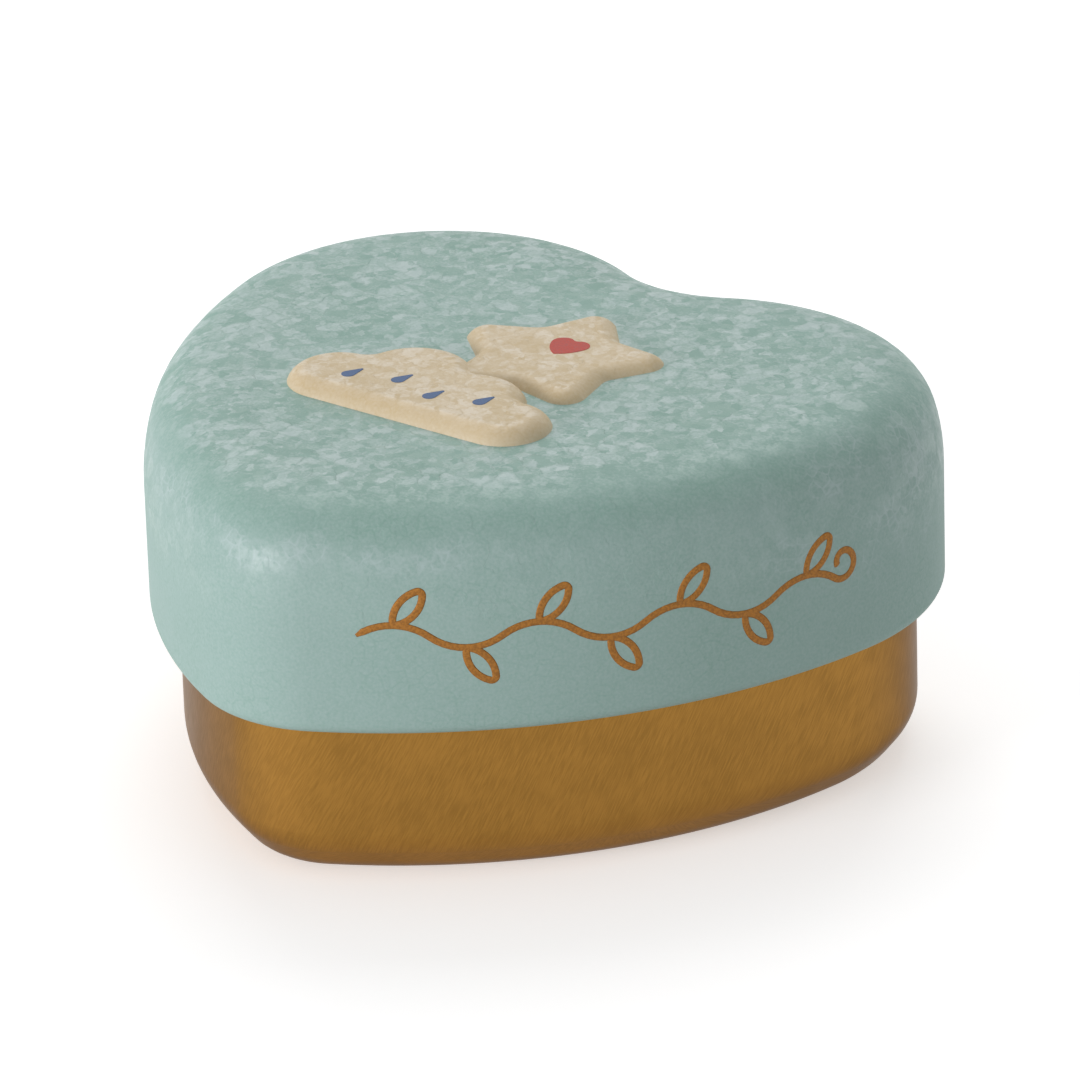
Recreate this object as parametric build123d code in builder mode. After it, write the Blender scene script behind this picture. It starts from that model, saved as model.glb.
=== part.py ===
from build123d import *

import os
from math import atan2, cos, degrees, hypot, radians, sin, sqrt, tan

# A small heart-shaped tin for a child's milk teeth, in two pieces drawn from thin tinplate.
# The lid is a cap with a soft shoulder, a raised picture in its top and a rolled lower rim.
# The base is a plain cup with a rounded heel, a standing ring and a rolled lip, and the lid
# slides down over it. Millimetres, +Z up, the heart's point towards -Y and its notch towards
# +Y, the origin in the middle of the footprint at the level that the tin stands on.

os.makedirs("parts", exist_ok=True)

# Driving sizes of the whole tin
lid_width = 60.0
lid_depth = 55.9
tin_height = 29.5
lid_rim_height = 12.7
sheet = 0.28

# Heart outline of the lid's wall: two lobes, a point and two flanks in tangent arcs
lobe_radius = 18.0
tip_radius = 10.6
flank_radius = 47.3
notch_radius = 8.7

# Section of the lid, from the flat of its top down to the rolled rim
crown_radius = 20.0
crown_turn = 10
shoulder_radius = 4.6
wall_bow_radius = 13.5
wall_bow_turn = 16
lid_curl_radius = 0.9

# Section of the base, from the panel of its bottom up to the rolled lip
lift_clearance = 0.3
seat_clearance = 0.3
heel_radius = 3.2
heel_bow_radius = 7.0
heel_bow_turn = 25
ring_width = 1.5
panel_lift = 0.5
panel_step_turn = 45
lip_curl_radius = 0.75

# Raised picture in the lid's top: a plump star that stands behind a small cloud
relief_round = 0.62
star_relief = 0.75
star_radius = 9.6
star_valley_share = 0.58
star_points = 5
star_lean = 9
star_tip_round = 1.6
star_valley_round = 1.3
star_place_x = 2.5
star_place_y = 5.4
cloud_relief = 1.1
cloud_width = 22.6
cloud_cusp_round = 0.75
cloud_place_x = -0.8
cloud_place_y = -9.6
# Each puff's centre across and up, and its radius, as shares of the cloud's width
cloud_puff_shares = [
    (-0.335, 0.165, 0.165),
    (-0.135, 0.300, 0.200),
    (0.140, 0.235, 0.185),
    (0.350, 0.150, 0.150),
]

# Centres of the outline's arcs, and the directions in which they meet
lobe_centre = Vector(lid_width / 2 - lobe_radius, lid_depth / 2 - lobe_radius)
tip_centre = Vector(0, tip_radius - lid_depth / 2)
notch_centre = Vector(0, lobe_centre.Y + sqrt((lobe_radius + notch_radius) ** 2 - lobe_centre.X**2))
side_line = lobe_centre - tip_centre
tip_reach = flank_radius - tip_radius
lobe_reach = flank_radius - lobe_radius
along_side = (tip_reach**2 - lobe_reach**2 + side_line.length**2) / (2 * side_line.length)
off_side = sqrt(tip_reach**2 - along_side**2)
side_way = side_line.normalized()
flank_centre = tip_centre + side_way * along_side + Vector(-side_way.Y, side_way.X) * off_side


def bearing(start, end):
    """Direction from one point to another, in degrees from +X."""
    return degrees(atan2(end.Y - start.Y, end.X - start.X))


tip_ends = bearing(flank_centre, tip_centre)
flank_ends = bearing(flank_centre, lobe_centre)
lobe_ends = bearing(lobe_centre, notch_centre)


def half_heart(inset):
    """Draw the right half of the heart from point to notch, inset from the lid's wall."""
    CenterArc(tip_centre, tip_radius - inset, -90, tip_ends + 90)
    CenterArc(flank_centre, flank_radius - inset, tip_ends, flank_ends - tip_ends)
    CenterArc(lobe_centre, lobe_radius - inset, flank_ends, lobe_ends - flank_ends)
    CenterArc(notch_centre, notch_radius + inset, lobe_ends - 180, 90 - lobe_ends)


def heart_face(inset):
    """Fill the whole heart, inset from the lid's wall."""
    with BuildLine() as outline:
        half_heart(inset)
        mirror(about=Plane.YZ)
    make_face(outline.edges())


# The wall's section stands on the heart's point: local x runs inwards and local y is height
wall_section = Plane(origin=(0, -lid_depth / 2, 0), x_dir=(0, 1, 0), z_dir=(1, 0, 0))

# What the lid's section reaches inwards and drops, and where its shoulder arc is centred
lid_flat_inset = (
    wall_bow_radius * (1 - cos(radians(wall_bow_turn)))
    + shoulder_radius * (cos(radians(wall_bow_turn)) - sin(radians(crown_turn)))
    + crown_radius * sin(radians(crown_turn))
)
shoulder_centre_inset = lid_flat_inset + (shoulder_radius - crown_radius) * sin(radians(crown_turn))
shoulder_centre_height = (
    tin_height - crown_radius + (crown_radius - shoulder_radius) * cos(radians(crown_turn))
)

# The lid's curl clears the base's wall, and the base's lip stops just under the lid's shoulder
lid_curl_height = lid_rim_height + lid_curl_radius
base_inset = 2 * lid_curl_radius + lift_clearance
lip_inset = base_inset + lip_curl_radius
lip_room = shoulder_radius - sheet - seat_clearance - lip_curl_radius
lip_curl_height = shoulder_centre_height + sqrt(
    lip_room**2 - (shoulder_centre_inset - lip_inset) ** 2
)

# What the base's heel and the step of its bottom panel reach inwards
heel_reach = heel_bow_radius * (1 - cos(radians(heel_bow_turn))) + heel_radius * cos(
    radians(heel_bow_turn)
)
ring_inset = base_inset + heel_reach
panel_inset = ring_inset + ring_width + panel_lift / tan(radians(panel_step_turn))


def step_shift(depth):
    """How far outwards the panel's step lies on a line depth above its underside."""
    return depth * tan(radians(panel_step_turn / 2))


def lid_line(depth):
    """Draw the lid's section, depth inside its outer face, and give its two ends."""
    crown = JernArc(
        (lid_flat_inset, tin_height - depth), (-1, 0), crown_radius - depth, crown_turn
    )
    shoulder = JernArc(
        crown @ 1, crown % 1, shoulder_radius - depth, 90 - crown_turn - wall_bow_turn
    )
    bow = JernArc(shoulder @ 1, shoulder % 1, wall_bow_radius - depth, wall_bow_turn)
    wall = Line(bow @ 1, (depth, lid_curl_height))
    return crown @ 0, wall @ 1


def base_line(depth):
    """Draw the base's section, depth inside its outer face, and give its two ends."""
    step = Line(
        (panel_inset - step_shift(depth), panel_lift + depth),
        (ring_inset + ring_width - step_shift(depth), depth),
    )
    ring = Line(step @ 1, (ring_inset, depth))
    heel = JernArc(ring @ 1, ring % 1, heel_radius - depth, heel_bow_turn - 90)
    bow = JernArc(heel @ 1, heel % 1, heel_bow_radius - depth, -heel_bow_turn)
    wall = Line(bow @ 1, (base_inset + depth, lip_curl_height))
    return step @ 0, wall @ 1


def sheet_strip(section_line):
    """Fill the sheet between a section's outer and inner lines."""
    with BuildLine() as strip:
        outer_ends = section_line(0)
        inner_ends = section_line(sheet)
        for outer_end, inner_end in zip(outer_ends, inner_ends):
            Line(outer_end, inner_end)
    make_face(strip.edges())


def star_picture():
    """Outline of the plump star, leaning a little, with its points and valleys rounded."""
    corners = []
    for step in range(2 * star_points):
        reach = star_radius if step % 2 == 0 else star_radius * star_valley_share
        turn = radians(90 + star_lean + 180 * step / star_points)
        corners.append((reach * cos(turn), reach * sin(turn)))
    with BuildSketch(Plane((star_place_x, star_place_y, 0))) as star:
        with BuildLine():
            Polyline(corners, close=True)
        make_face()
        fillet(star.vertices().group_by(lambda corner: hypot(corner.X, corner.Y))[-1], star_tip_round)
        fillet(star.vertices().group_by(lambda corner: hypot(corner.X, corner.Y))[0], star_valley_round)
    return star.sketch


def cloud_picture():
    """Outline of the cloud: a flat foot and a row of puffs, with the cusps between them rounded."""
    puffs = [[cloud_width * share for share in shares] for shares in cloud_puff_shares]
    centres = [(across, up) for across, up, radius in puffs]
    with BuildSketch(Plane((cloud_place_x, cloud_place_y, 0))) as cloud:
        with BuildLine():
            Polyline([(centres[-1][0], 0), (centres[0][0], 0)] + centres, close=True)
        make_face()
        for across, up, radius in puffs:
            with Locations((across, up)):
                Circle(radius)
        fillet(cloud.vertices().filter_by(lambda corner: corner.Y > centres[0][1]), cloud_cusp_round)
    return cloud.sketch


def raised(picture, relief, inset):
    """Picture raised by relief above the lid's top, rounded above, or its hollow with an inset."""
    with BuildPart() as block:
        with BuildSketch(Plane.XY.offset(tin_height - sheet - inset)):
            add(picture)
            if inset:
                offset(amount=-inset)
        extrude(amount=relief + sheet)
        brim = block.faces().sort_by(Axis.Z)[-1].edges()
        if inset:
            chamfer(brim, relief_round - inset)
        else:
            fillet(brim, relief_round)
    return block.part


with BuildPart() as lid_shell:
    with BuildLine():
        half_heart(0)
    with BuildSketch(wall_section):
        sheet_strip(lid_line)
        with Locations((lid_curl_radius, lid_curl_height)):
            Circle(lid_curl_radius)
    sweep()
    mirror(about=Plane.YZ)
    with BuildSketch(Plane.XY.offset(tin_height - sheet)):
        heart_face(lid_flat_inset)
    extrude(amount=sheet)
    pictures = ((star_picture(), star_relief), (cloud_picture(), cloud_relief))
    for picture, relief in pictures:
        add(raised(picture, relief, 0))
    for picture, relief in pictures:
        add(raised(picture, relief, sheet), mode=Mode.SUBTRACT)

lid_shell.part.label = "lid_shell"
export_step(lid_shell.part, "parts/lid_shell.step")


with BuildPart() as base_shell:
    with BuildLine():
        half_heart(0)
    with BuildSketch(wall_section):
        sheet_strip(base_line)
        with Locations((lip_inset, lip_curl_height)):
            Circle(lip_curl_radius)
    sweep()
    mirror(about=Plane.YZ)
    with BuildSketch(Plane.XY.offset(panel_lift)):
        heart_face(panel_inset - step_shift(sheet))
    extrude(amount=sheet)

base_shell.part.label = "base_shell"
export_step(base_shell.part, "parts/base_shell.step")
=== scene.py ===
"""Looks of a small heart-shaped tin for milk teeth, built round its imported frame.

A deep cap in teal crackle lacquer, with a star and a cloud raised in its top, slides down over a
cup in brushed gold lacquer. Lengths are in metres, +Z is up, and the heart's point is towards -Y.
"""

import logging
from collections.abc import Callable
from dataclasses import dataclass, field
from enum import Enum
from math import acos, asin, atan2, ceil, copysign, cos, inf, pi, radians, sin, sqrt, tan

import bmesh
import bpy
from mathutils import Matrix, Vector


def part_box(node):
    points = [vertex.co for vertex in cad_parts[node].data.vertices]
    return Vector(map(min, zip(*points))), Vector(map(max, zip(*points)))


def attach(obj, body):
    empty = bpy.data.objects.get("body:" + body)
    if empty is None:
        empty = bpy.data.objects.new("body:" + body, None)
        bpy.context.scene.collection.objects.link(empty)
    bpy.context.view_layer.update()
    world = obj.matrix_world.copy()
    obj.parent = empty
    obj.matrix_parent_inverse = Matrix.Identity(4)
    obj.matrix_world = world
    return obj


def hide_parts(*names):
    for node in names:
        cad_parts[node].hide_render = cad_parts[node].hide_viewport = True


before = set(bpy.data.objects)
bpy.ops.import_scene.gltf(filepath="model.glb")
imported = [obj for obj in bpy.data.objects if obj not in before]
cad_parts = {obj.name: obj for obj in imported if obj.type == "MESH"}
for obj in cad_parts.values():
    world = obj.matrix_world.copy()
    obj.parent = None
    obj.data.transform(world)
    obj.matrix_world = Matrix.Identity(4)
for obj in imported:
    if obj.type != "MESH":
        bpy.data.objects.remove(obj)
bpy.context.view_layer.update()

log = logging.getLogger("milk_tooth_tin")

Span = tuple[float, float]
"""The two ends of a range."""

Colour = tuple[float, ...]
"""Linear red, green and blue, and alpha where a socket takes it."""

Socket = bpy.types.NodeSocket
"""What one node hands to another."""

Outputs = bpy.types.bpy_prop_collection
"""All that a node hands out, by number or name."""

MILLIMETRES = 1000.0
"""Millimetres in a metre."""

SPECK = 0.00001
"""Least length that counts: a drawing's first square, a weld's reach, the gap under the tin."""

FINE_TURN = radians(7.5)
"""Most that one edge of a bend turns."""

LONG_EDGE = 0.0008
"""Longest edge of a bend."""

CREASE = radians(32)
"""Angle between two faces from which their edge is sharp."""

MIDDLE = 0.5
"""Middle of a stretch, and of a random share."""

CENTRE = (MIDDLE, MIDDLE, MIDDLE)
"""Middle of a random colour, taken off to make a random direction."""

SWING: Span = (0.3, 0.7)
"""Range that nearly all of a cloudy noise lies in."""

WHOLE: Span = (0.0, 1.0)
"""Range of a share."""

FINE_DETAIL = 3.0
"""Detail of a noise that shows as it is."""

COARSE_DETAIL = 2.0
"""Detail of a noise that only tells where something lies."""


class Body(Enum):
    """The two bodies of the frame."""

    LID = "lid"
    BASE = "base"


class Slot(Enum):
    """The record's material slots."""

    ENAMEL = "lid_enamel"
    LACQUER = "base_lacquer"


class Join(Enum):
    """What a tool does to the piece that it is set into."""

    ADD = "UNION"
    CUT = "DIFFERENCE"


class Mixed(Enum):
    """What a mix node mixes: its data type, and the first of the two inputs that it takes."""

    NUMBERS = ("FLOAT", 2)
    VECTORS = ("VECTOR", 4)
    COLOURS = ("RGBA", 6)


def ahead(heading: float) -> Vector:
    """Unit vector of a heading in a drawing plane."""
    return Vector((cos(heading), sin(heading)))


def to_left(heading: float) -> Vector:
    """Unit vector to the left of a heading in a drawing plane."""
    return Vector((-sin(heading), cos(heading)))


@dataclass(frozen=True)
class Bend:
    """A round stretch of a line: its radius, and how far it turns to the left, in radians."""

    radius: float
    turn: float

    @property
    def steps(self) -> int:
        """Number of edges that draw the bend."""
        return ceil(max(abs(self.turn) / FINE_TURN, self.length / LONG_EDGE))

    @property
    def length(self) -> float:
        """Length of the bend along its line."""
        return self.radius * abs(self.turn)


@dataclass(frozen=True)
class Run:
    """A straight stretch of a line."""

    length: float


@dataclass(frozen=True)
class Track:
    """A flat line of bends and runs, with its start and its first heading."""

    start: Vector
    heading: float
    stretches: tuple[Bend | Run, ...]

    def walk(self, length: float = inf) -> tuple[Vector, float]:
        """Follow the track.

        Args:
            length: how far to follow it, at most to its end.

        Returns:
            The place and the heading there, in the drawing plane.
        """
        place, heading = self.start.copy(), self.heading
        for stretch in self.stretches:
            step = min(length, stretch.length)
            length -= step
            if isinstance(stretch, Run):
                place += ahead(heading) * step
            else:
                arm = copysign(stretch.radius, stretch.turn)
                place += to_left(heading) * arm
                heading += step / arm
                place -= to_left(heading) * arm
        return place, heading


@dataclass(frozen=True)
class Plane:
    """A drawing plane: where its origin lies, and its two directions."""

    origin: Vector
    across: Vector
    up: Vector

    @property
    def axis(self) -> Vector:
        """Direction that a left turn in the plane turns about."""
        return self.across.cross(self.up)

    def along(self, flat: Vector) -> Vector:
        """Direction in space of a direction in the plane."""
        return self.across * flat.x + self.up * flat.y

    def point(self, flat: Vector) -> Vector:
        """Place in space of a place in the plane."""
        return self.origin + self.along(flat)


GROUND = Plane(Vector((0, 0, 0)), Vector((1, 0, 0)), Vector((0, 1, 0)))
"""The plane that outlines are drawn in, seen from above."""


def pick(piece: bpy.types.Object) -> None:
    """Select one object alone and make it active.

    Args:
        piece: the object that the next operators act on.
    """
    bpy.ops.object.select_all(action="DESELECT")
    piece.select_set(True)
    bpy.context.view_layer.objects.active = piece


def unite(pieces: list[bpy.types.Object]) -> bpy.types.Object:
    """Join several objects into the first of them.

    Args:
        pieces: the objects.

    Returns:
        The one object that is left.
    """
    pick(pieces[0])
    for piece in pieces:
        piece.select_set(True)
    bpy.ops.object.join()
    return bpy.context.object


def weld(reach: float = SPECK) -> None:
    """Merge what lies together in the mesh being edited, and turn every face outwards.

    Args:
        reach: how far apart two points may lie to be merged.
    """
    bpy.ops.mesh.select_all(action="SELECT")
    bpy.ops.mesh.remove_doubles(threshold=reach)
    bpy.ops.mesh.normals_make_consistent(inside=False)


class Bench:
    """A mesh that is drawn in edit mode, from one point on."""

    def __init__(self, name: str, start: Vector) -> None:
        """Put a single point on the bench.

        Args:
            name: name of the new object.
            start: where its first point lies.
        """
        bpy.ops.object.select_all(action="DESELECT")
        bpy.ops.mesh.primitive_plane_add(size=SPECK, location=start)
        self.piece = bpy.context.object
        self.piece.name = name
        bpy.ops.object.transform_apply(location=True)
        bpy.ops.object.mode_set(mode="EDIT")
        bpy.ops.mesh.select_mode(type="VERT")
        bpy.ops.mesh.merge(type="CENTER")

    def draw(self, track: Track, plane: Plane) -> None:
        """Spin and extrude what is selected along a track.

        Args:
            track: the line to follow.
            plane: the plane that the line lies in.
        """
        place, heading = track.start.copy(), track.heading
        for stretch in track.stretches:
            if isinstance(stretch, Run):
                step = ahead(heading) * stretch.length
                move = {"value": plane.along(step)}
                bpy.ops.mesh.extrude_region_move(TRANSFORM_OT_translate=move)
                place += step
            else:
                arm = copysign(stretch.radius, stretch.turn)
                centre = place + to_left(heading) * arm
                bpy.ops.mesh.spin(
                    steps=stretch.steps,
                    angle=-stretch.turn,
                    center=plane.point(centre),
                    axis=plane.axis,
                )
                heading += stretch.turn
                place = centre - to_left(heading) * arm

    def pick_edges(self, wanted: Callable[[bmesh.types.BMEdge], bool]) -> None:
        """Select the edges that pass a test, and nothing else.

        Args:
            wanted: the test of an edge.
        """
        bpy.ops.mesh.select_mode(type="EDGE")
        bpy.ops.mesh.select_all(action="DESELECT")
        mesh = bmesh.from_edit_mesh(self.piece.data)
        for edge in filter(wanted, mesh.edges):
            edge.select_set(True)
        bmesh.update_edit_mesh(self.piece.data)

    def close(self, height: float) -> None:
        """Fill the open edges at one height with a flat face.

        Args:
            height: how high the open edges lie.
        """
        self.pick_edges(
            lambda edge: edge.is_boundary
            and all(abs(corner.co.z - height) < SPECK for corner in edge.verts)
        )
        bpy.ops.mesh.edge_face_add()

    def lift(self, height: float) -> None:
        """Extrude all of a flat drawing upwards.

        Args:
            height: how thick the drawing becomes.
        """
        bpy.ops.mesh.select_all(action="SELECT")
        bpy.ops.mesh.extrude_region_move(TRANSFORM_OT_translate={"value": (0, 0, height)})

    def leave(self) -> bpy.types.Object:
        """Leave edit mode.

        Returns:
            The drawn object.
        """
        bpy.ops.object.mode_set(mode="OBJECT")
        return self.piece


def apply(piece: bpy.types.Object, kind: str, **settings: object) -> None:
    """Add a modifier to a piece and apply it.

    Args:
        piece: the piece to change.
        kind: the modifier's type.
        settings: the modifier's own settings.
    """
    pick(piece)
    modifier = piece.modifiers.new(name=kind.title(), type=kind)
    for name, value in settings.items():
        setattr(modifier, name, value)
    bpy.ops.object.modifier_apply(modifier=modifier.name)


def set_in(piece: bpy.types.Object, tool: bpy.types.Object, join: Join) -> None:
    """Add a closed tool to a piece, or cut it out of the piece, and clear the tool away.

    Args:
        piece: the piece to change.
        tool: the closed mesh to add or cut.
        join: which of the two.
    """
    apply(
        piece,
        "BOOLEAN",
        operation=join.value,
        solver="EXACT",
        object=tool,
        material_mode="TRANSFER",
    )
    bpy.data.objects.remove(tool, do_unlink=True)


def smooth(piece: bpy.types.Object) -> None:
    """Shade a piece smooth up to its creases, with flat faces kept flat.

    Args:
        piece: the piece to shade.
    """
    pick(piece)
    bpy.ops.object.shade_smooth_by_angle(angle=CREASE)
    apply(piece, "WEIGHTED_NORMAL", keep_sharp=True)


@dataclass(frozen=True)
class Heart:
    """A heart outline in tangent arcs, as wide and deep as it says, centred on the origin."""

    width: float
    depth: float
    lobe_radius: float
    tip_radius: float
    flank_radius: float
    notch_radius: float

    def right_half(self) -> Track:
        """Line from the point, up the right flank and round its lobe, to the notch.

        Returns:
            The half outline, seen from above, run through anticlockwise.
        """
        lobe = Vector((self.width / 2 - self.lobe_radius, self.depth / 2 - self.lobe_radius))
        tip = Vector((0, self.tip_radius - self.depth / 2))
        rise = sqrt((self.lobe_radius + self.notch_radius) ** 2 - lobe.x**2)
        notch = Vector((0, lobe.y + rise))
        side = lobe - tip
        tip_reach = self.flank_radius - self.tip_radius
        lobe_reach = self.flank_radius - self.lobe_radius
        along = (tip_reach**2 - lobe_reach**2 + side.length_squared) / (2 * side.length)
        off = sqrt(tip_reach**2 - along**2)
        way = side.normalized()
        flank = tip + way * along + Vector((-way.y, way.x)) * off
        tip_end = atan2(tip.y - flank.y, tip.x - flank.x)
        flank_end = atan2(lobe.y - flank.y, lobe.x - flank.x)
        lobe_end = atan2(notch.y - lobe.y, notch.x - lobe.x)
        return Track(
            Vector((0, -self.depth / 2)),
            0.0,
            (
                Bend(self.tip_radius, tip_end + pi / 2),
                Bend(self.flank_radius, flank_end - tip_end),
                Bend(self.lobe_radius, lobe_end - flank_end),
                Bend(self.notch_radius, pi / 2 - lobe_end),
            ),
        )


def sweep(name: str, section: Track, outline: Track) -> Bench:
    """Draw a section standing on an outline's start, and sweep it round the outline.

    Args:
        name: name of the new object.
        section: the section, with its x inwards from the outline and its y upwards.
        outline: the line to sweep along, run through anticlockwise.

    Returns:
        The bench, in edit mode, with the swept skin on it.
    """
    foot = GROUND.point(outline.start)
    inwards = GROUND.along(to_left(outline.heading))
    standing = Plane(foot, inwards, Vector((0, 0, 1)))
    bench = Bench(name, standing.point(section.start))
    bench.draw(section, standing)
    bpy.ops.mesh.select_all(action="SELECT")
    bench.draw(outline, GROUND)
    return bench


def fill(name: str, outline: Track, height: float, thickness: float) -> Bench:
    """Make a flat plate from a closed outline.

    Args:
        name: name of the new object.
        outline: the closed line round the plate.
        height: height of the plate's underside.
        thickness: how thick the plate is.

    Returns:
        The bench, in edit mode, with the plate on it.
    """
    level = Plane(Vector((0, 0, height)), GROUND.across, GROUND.up)
    bench = Bench(name, level.point(outline.start))
    bench.draw(outline, level)
    weld()
    bpy.ops.mesh.edge_face_add()
    bench.lift(thickness)
    weld()
    return bench


class Recipe:
    """The nodes of one material, added one after another.

    Its patterns start from the place on the piece, and its parts across, depth and height, all in
    millimetres, from the surface's normal, and from how far the surface is facing up.
    """

    def __init__(self, name: str) -> None:
        """Start a material whose pattern is laid out in millimetres of the piece itself.

        Args:
            name: name of the material.
        """
        self.material = bpy.data.materials.new(name)
        self.material.use_nodes = True
        self.nodes = self.material.node_tree.nodes
        self.shader = self.nodes["Principled BSDF"]
        piece = self.nodes.new("ShaderNodeTexCoord").outputs
        self.place = self.add(
            "ShaderNodeVectorMath",
            {0: piece["Object"], "Scale": MILLIMETRES},
            operation="SCALE",
        )[0]
        parts = self.add("ShaderNodeSeparateXYZ", {0: self.place})
        self.across, self.depth, self.height = parts["X"], parts["Y"], parts["Z"]
        self.normal = piece["Normal"]
        self.facing_up = self.add("ShaderNodeSeparateXYZ", {0: self.normal})["Z"]

    def add(self, kind: str, inputs: dict[int | str, object], **settings: object) -> Outputs:
        """Add a node, set it up and link what it takes.

        Args:
            kind: the node's type.
            inputs: values or sockets for the node's inputs.
            settings: the node's own settings.

        Returns:
            The node's outputs.
        """
        node = self.nodes.new(kind)
        for name, value in settings.items():
            setattr(node, name, value)
        for key, value in inputs.items():
            self.feed(node, key, value)
        return node.outputs

    def feed(self, node: bpy.types.Node, key: int | str, value: object) -> None:
        """Link a socket to a node's input, or set the input to a value.

        Args:
            node: the node that takes it.
            key: number or name of its input.
            value: the socket or the value.
        """
        if isinstance(value, Socket):
            self.material.node_tree.links.new(value, node.inputs[key])
        else:
            node.inputs[key].default_value = value

    def math(self, operation: str, first: object, second: object = 0.0) -> Socket:
        """Result of one step of arithmetic on two numbers."""
        return self.add("ShaderNodeMath", {0: first, 1: second}, operation=operation)[0]

    def times(self, first: object, second: object) -> Socket:
        """Product of two numbers."""
        return self.math("MULTIPLY", first, second)

    def plus(self, first: object, second: object) -> Socket:
        """Sum of two numbers."""
        return self.math("ADD", first, second)

    def minus(self, first: object, second: object) -> Socket:
        """Difference of two numbers."""
        return self.math("SUBTRACT", first, second)

    def most(self, first: object, second: object) -> Socket:
        """Larger one of two numbers."""
        return self.math("MAXIMUM", first, second)

    def vector(self, operation: str, first: object, second: object) -> Socket:
        """Result of one step of arithmetic on two vectors."""
        return self.add("ShaderNodeVectorMath", {0: first, 1: second}, operation=operation)[0]

    def dot(self, first: object, second: object) -> Socket:
        """Dot product of two vectors."""
        inputs = {0: first, 1: second}
        return self.add("ShaderNodeVectorMath", inputs, operation="DOT_PRODUCT")["Value"]

    def spread(self, value: object, span: Span, onto: Span = WHOLE) -> Socket:
        """Spread a number smoothly from one range over another, and hold it there.

        Args:
            value: the number.
            span: the range that it comes from.
            onto: the range that it is spread over.

        Returns:
            The spread number.
        """
        inputs = {"Value": value}
        inputs["From Min"], inputs["From Max"] = span
        inputs["To Min"], inputs["To Max"] = onto
        return self.add("ShaderNodeMapRange", inputs, interpolation_type="SMOOTHSTEP")[0]

    def mix(
        self, share: object, first: object, second: object, kind: Mixed = Mixed.NUMBERS
    ) -> Socket:
        """Mix two numbers, vectors or colours.

        Args:
            share: share of the second.
            first: what a share of zero gives.
            second: what a share of one gives.
            kind: what both are.

        Returns:
            The mixture.
        """
        data_type, low = kind.value
        inputs = {0: share, low: first, low + 1: second}
        return self.add("ShaderNodeMix", inputs, data_type=data_type)["Result"]

    def blend(self, share: object, first: object, second: object) -> Socket:
        """Mix two colours."""
        return self.mix(share, first, second, Mixed.COLOURS)

    def noise(
        self, size: float, detail: float = FINE_DETAIL, place: Socket | None = None
    ) -> Outputs:
        """Cloudy noise whose patches are about as large as size, in millimetres."""
        inputs = {"Vector": place or self.place, "Scale": 1 / size, "Detail": detail}
        return self.add("ShaderNodeTexNoise", inputs)

    def cells(self, size: float, place: Socket, soft_edge: float) -> Outputs:
        """Cells about as large as size, in millimetres, with edges as soft as soft_edge."""
        inputs = {"Vector": place, "Scale": 1 / size, "Smoothness": soft_edge}
        return self.add("ShaderNodeTexVoronoi", inputs, feature="SMOOTH_F1")

    def seams(self, size: float, place: Socket) -> Socket:
        """Distance to the seams between cells about as large as size, as a share of size."""
        inputs = {"Vector": place, "Scale": 1 / size}
        return self.add("ShaderNodeTexVoronoi", inputs, feature="DISTANCE_TO_EDGE")["Distance"]

    def bump(self, rise: Socket, depth: float) -> Socket:
        """Normal of a surface that rises by rise times depth, in metres."""
        return self.add("ShaderNodeBump", {"Height": rise, "Distance": depth})["Normal"]

    def finish(self, inputs: dict[str, object]) -> bpy.types.Material:
        """Feed the shader, and hand over the material.

        Args:
            inputs: values or sockets for the shader's inputs.

        Returns:
            The finished material.
        """
        for name, value in inputs.items():
            self.feed(self.shader, name, value)
        return self.material


def srgb(red: int, green: int, blue: int) -> Colour:
    """Colour for a socket from the three numbers that a paint chart gives, 0 to 255.

    Args:
        red: the red part.
        green: the green part.
        blue: the blue part.

    Returns:
        The linear colour by the standard curve, with full alpha.
    """
    parts = [part / 255 for part in (red, green, blue)]
    # Straight near black, and a power above
    linear = [p / 12.92 if p <= 0.04045 else ((p + 0.055) / 1.055) ** 2.4 for p in parts]
    return (*linear, 1.0)


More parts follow.
